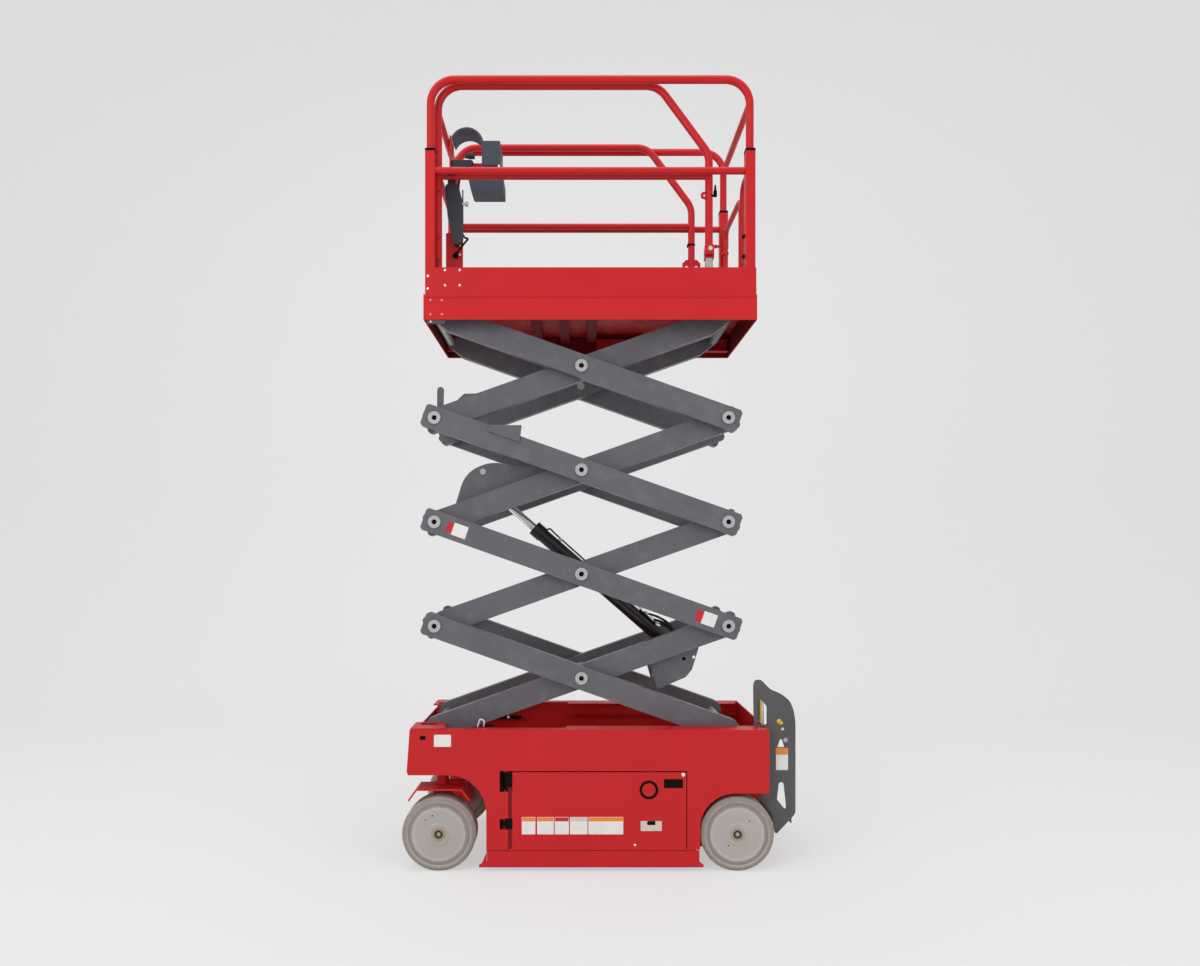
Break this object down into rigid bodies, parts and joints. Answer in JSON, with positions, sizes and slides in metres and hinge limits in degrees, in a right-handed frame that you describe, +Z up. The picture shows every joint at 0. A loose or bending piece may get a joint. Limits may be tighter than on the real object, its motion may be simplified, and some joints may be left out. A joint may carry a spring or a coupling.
{
  "type": "self-propelled scissor lift",
  "caption": "Electric slab scissor lift, part raised: steered wheels, swing-out side trays, rear ladder, crossed-arm stack with one ram, railed platform with roll-out deck.",
  "frame": {"origin": "on the ground, under the middle of the overall length and width", "axes": "+X to the ladder end, -X to the steered end, +Y to the machine's right side, +Z up"},
  "size_m": [1.9114, 0.81, 3.848],
  "materials": {
    "red_paint": "satin",
    "deck_red": "satin",
    "grey_paint": "satin",
    "dark_plate": "satin",
    "steel": "brushed",
    "chrome_rod": "polished",
    "tyre": "matte",
    "wheel_paint": "satin",
    "black_paint": "satin",
    "blue_grey": "matte",
    "dark_plastic": "matte",
    "block_plastic": "matte",
    "floor_plate": "satin"
  },
  "bodies": {
    "chassis": {"chassis_side_left": "red_paint", "chassis_side_right": "red_paint", "scissor_well": "red_paint", "front_beam": "red_paint", "chassis_core": "red_paint", "rear_box": "red_paint", "base_mounts": "red_paint", "ladder_plates": "dark_plate", "ladder_steps": "dark_plate"},
    "door_left": {"door_left": "red_paint", "tray_left": "deck_red", "battery_pack": "dark_plastic"},
    "door_right": {"door_right": "red_paint", "tray_right": "deck_red", "hydraulic_pack": "black_paint"},
    "guard_left": {"pothole_guard_left": "red_paint"},
    "guard_right": {"pothole_guard_right": "red_paint"},
    "knuckle_left": {"knuckle_left": "red_paint"},
    "knuckle_right": {"knuckle_right": "red_paint"},
    "tie_rod": {"tie_rod": "black_paint"},
    "wheel_front_left": {"tyre_front_left": "tyre", "wheel_front_left": "wheel_paint"},
    "wheel_front_right": {"tyre_front_right": "tyre", "wheel_front_right": "wheel_paint"},
    "wheel_rear_left": {"tyre_rear_left": "tyre", "wheel_rear_left": "wheel_paint"},
    "wheel_rear_right": {"tyre_rear_right": "tyre", "wheel_rear_right": "wheel_paint"},
    "inner_1": {"inner_frame_1": "grey_paint", "ram_lug_lower": "grey_paint"},
    "outer_1": {"outer_arms_1": "grey_paint", "stage_pins_1": "steel"},
    "inner_2": {"inner_frame_2": "grey_paint"},
    "outer_2": {"outer_arms_2": "grey_paint", "stage_pins_2": "steel"},
    "inner_3": {"inner_frame_3": "grey_paint", "ram_lug_upper": "grey_paint"},
    "outer_3": {"outer_arms_3": "grey_paint", "stage_pins_3": "steel"},
    "inner_4": {"inner_frame_4": "grey_paint"},
    "outer_4": {"outer_arms_4": "grey_paint", "stage_pins_4": "steel"},
    "lower_blocks": {"lower_slide_blocks": "block_plastic"},
    "upper_blocks": {"upper_slide_blocks": "block_plastic"},
    "ram_barrel": {"ram_barrel": "black_paint"},
    "ram_rod": {"ram_rod": "chrome_rod"},
    "platform": {"deck_frame": "red_paint", "deck_floor": "floor_plate", "deck_mounts": "red_paint", "toe_boards": "red_paint", "rail_posts": "red_paint", "main_rails": "red_paint"},
    "gate": {"gate": "red_paint"},
    "extension": {"extension_deck": "floor_plate", "extension_rails": "red_paint", "control_box": "blue_grey", "control_mount": "red_paint", "document_holder": "dark_plastic"}
  },
  "joints": [
    {"name": "lift", "type": "hinge", "parent": "chassis", "child": "inner_1", "pos_m": [-0.81725, 0, 0.655], "axis": [0, -1, 0], "range_deg": [-14.7, 35.2]},
    {"name": "stage_1_cross", "type": "hinge", "parent": "inner_1", "child": "outer_1", "pos_m": [-0.09142, 0, 0.91203], "axis": [0, -1, 0], "range_deg": [-70.7, 29.7]},
    {"name": "stage_2_pivot", "type": "hinge", "parent": "outer_1", "child": "inner_2", "pos_m": [-0.81725, 0, 1.16906], "axis": [0, -1, 0], "range_deg": [-29.7, 70.7]},
    {"name": "stage_2_cross", "type": "hinge", "parent": "inner_2", "child": "outer_2", "pos_m": [-0.09142, 0, 1.42609], "axis": [0, -1, 0], "range_deg": [-70.7, 29.7]},
    {"name": "stage_3_pivot", "type": "hinge", "parent": "outer_2", "child": "inner_3", "pos_m": [-0.81725, 0, 1.68312], "axis": [0, -1, 0], "range_deg": [-29.7, 70.7]},
    {"name": "stage_3_cross", "type": "hinge", "parent": "inner_3", "child": "outer_3", "pos_m": [-0.09142, 0, 1.94016], "axis": [0, -1, 0], "range_deg": [-70.7, 29.7]},
    {"name": "stage_4_pivot", "type": "hinge", "parent": "outer_3", "child": "inner_4", "pos_m": [-0.81725, 0, 2.19719], "axis": [0, -1, 0], "range_deg": [-29.7, 70.7]},
    {"name": "stage_4_cross", "type": "hinge", "parent": "inner_4", "child": "outer_4", "pos_m": [-0.09142, 0, 2.45422], "axis": [0, -1, 0], "range_deg": [-70.7, 29.7]},
    {"name": "platform_level", "type": "hinge", "parent": "outer_4", "child": "platform", "pos_m": [-0.81725, 0, 2.71125], "axis": [0, -1, 0], "range_deg": [-15, 35.5]},
    {"name": "lower_blocks_level", "type": "hinge", "parent": "outer_1", "child": "lower_blocks", "pos_m": [0.63442, 0, 0.655], "axis": [0, -1, 0], "range_deg": [-15, 35.5]},
    {"name": "upper_blocks_level", "type": "hinge", "parent": "inner_4", "child": "upper_blocks", "pos_m": [0.63442, 0, 2.71125], "axis": [0, -1, 0], "range_deg": [-35.5, 15]},
    {"name": "ram_tilt", "type": "hinge", "parent": "inner_1", "child": "ram_barrel", "pos_m": [0.45081, 0, 0.98056], "axis": [0, -1, 0], "range_deg": [-66.9, 28.11]},
    {"name": "ram_extend", "type": "slide", "parent": "ram_barrel", "child": "ram_rod", "axis": [-0.7554, 0, 0.6552], "range_m": [-0.2509, 0.5979]},
    {"name": "steer", "type": "hinge", "parent": "chassis", "child": "knuckle_left", "pos_m": [-0.77825, -0.275, 0.385], "axis": [0, 0, 1], "range_deg": [-65, 65]},
    {"name": "steer_right", "type": "hinge", "parent": "chassis", "child": "knuckle_right", "pos_m": [-0.77825, 0.275, 0.385], "axis": [0, 0, 1], "range_deg": [-66, 66]},
    {"name": "tie_rod_pivot", "type": "hinge", "parent": "knuckle_left", "child": "tie_rod", "pos_m": [-0.66625, -0.275, 0.385], "axis": [0, 0, 1], "range_deg": [-66, 66]},
    {"name": "wheel_front_left_spin", "type": "hinge", "parent": "knuckle_left", "child": "wheel_front_left", "pos_m": [-0.77825, -0.348, 0.1775], "axis": [0, 1, 0], "continuous": true},
    {"name": "wheel_front_right_spin", "type": "hinge", "parent": "knuckle_right", "child": "wheel_front_right", "pos_m": [-0.77825, 0.348, 0.1775], "axis": [0, 1, 0], "continuous": true},
    {"name": "wheel_rear_left_spin", "type": "hinge", "parent": "chassis", "child": "wheel_rear_left", "pos_m": [0.65775, -0.348, 0.1775], "axis": [0, 1, 0], "continuous": true},
    {"name": "wheel_rear_right_spin", "type": "hinge", "parent": "chassis", "child": "wheel_rear_right", "pos_m": [0.65775, 0.348, 0.1775], "axis": [0, 1, 0], "continuous": true},
    {"name": "door_left_swing", "type": "hinge", "parent": "chassis", "child": "door_left", "pos_m": [-0.45225, -0.391, 0.3], "axis": [0, 0, -1], "range_deg": [0, 85]},
    {"name": "door_right_swing", "type": "hinge", "parent": "chassis", "child": "door_right", "pos_m": [-0.45225, 0.391, 0.3], "axis": [0, 0, 1], "range_deg": [0, 85]},
    {"name": "guard_left_fold", "type": "hinge", "parent": "chassis", "child": "guard_left", "pos_m": [-0.06025, -0.392, 0.092], "axis": [1, 0, 0], "range_deg": [0, 75]},
    {"name": "guard_right_fold", "type": "hinge", "parent": "chassis", "child": "guard_right", "pos_m": [-0.06025, 0.392, 0.092], "axis": [-1, 0, 0], "range_deg": [0, 75]},
    {"name": "extension_roll", "type": "slide", "parent": "platform", "child": "extension", "axis": [-1, 0, 0], "range_m": [0, 0.9]},
    {"name": "gate_swing", "type": "hinge", "parent": "platform", "child": "gate", "pos_m": [0.73175, 0.318, 3.1], "axis": [0, 0, -1], "range_deg": [0, 68]}
  ],
  "couplings": [
    {"joint": "stage_1_cross", "follows": "lift", "ratio": -2},
    {"joint": "stage_2_pivot", "follows": "lift", "ratio": 2},
    {"joint": "stage_2_cross", "follows": "lift", "ratio": -2},
    {"joint": "stage_3_pivot", "follows": "lift", "ratio": 2},
    {"joint": "stage_3_cross", "follows": "lift", "ratio": -2},
    {"joint": "stage_4_pivot", "follows": "lift", "ratio": 2},
    {"joint": "stage_4_cross", "follows": "lift", "ratio": -2},
    {"joint": "platform_level", "follows": "lift", "ratio": 1},
    {"joint": "lower_blocks_level", "follows": "lift", "ratio": 1},
    {"joint": "upper_blocks_level", "follows": "lift", "ratio": -1},
    {"joint": "ram_tilt", "follows": "lift", "ratio": -1.892},
    {"joint": "ram_extend", "follows": "lift", "m_per_rad": 0.97},
    {"joint": "steer_right", "follows": "steer", "ratio": 1},
    {"joint": "tie_rod_pivot", "follows": "steer", "ratio": -1}
  ]
}
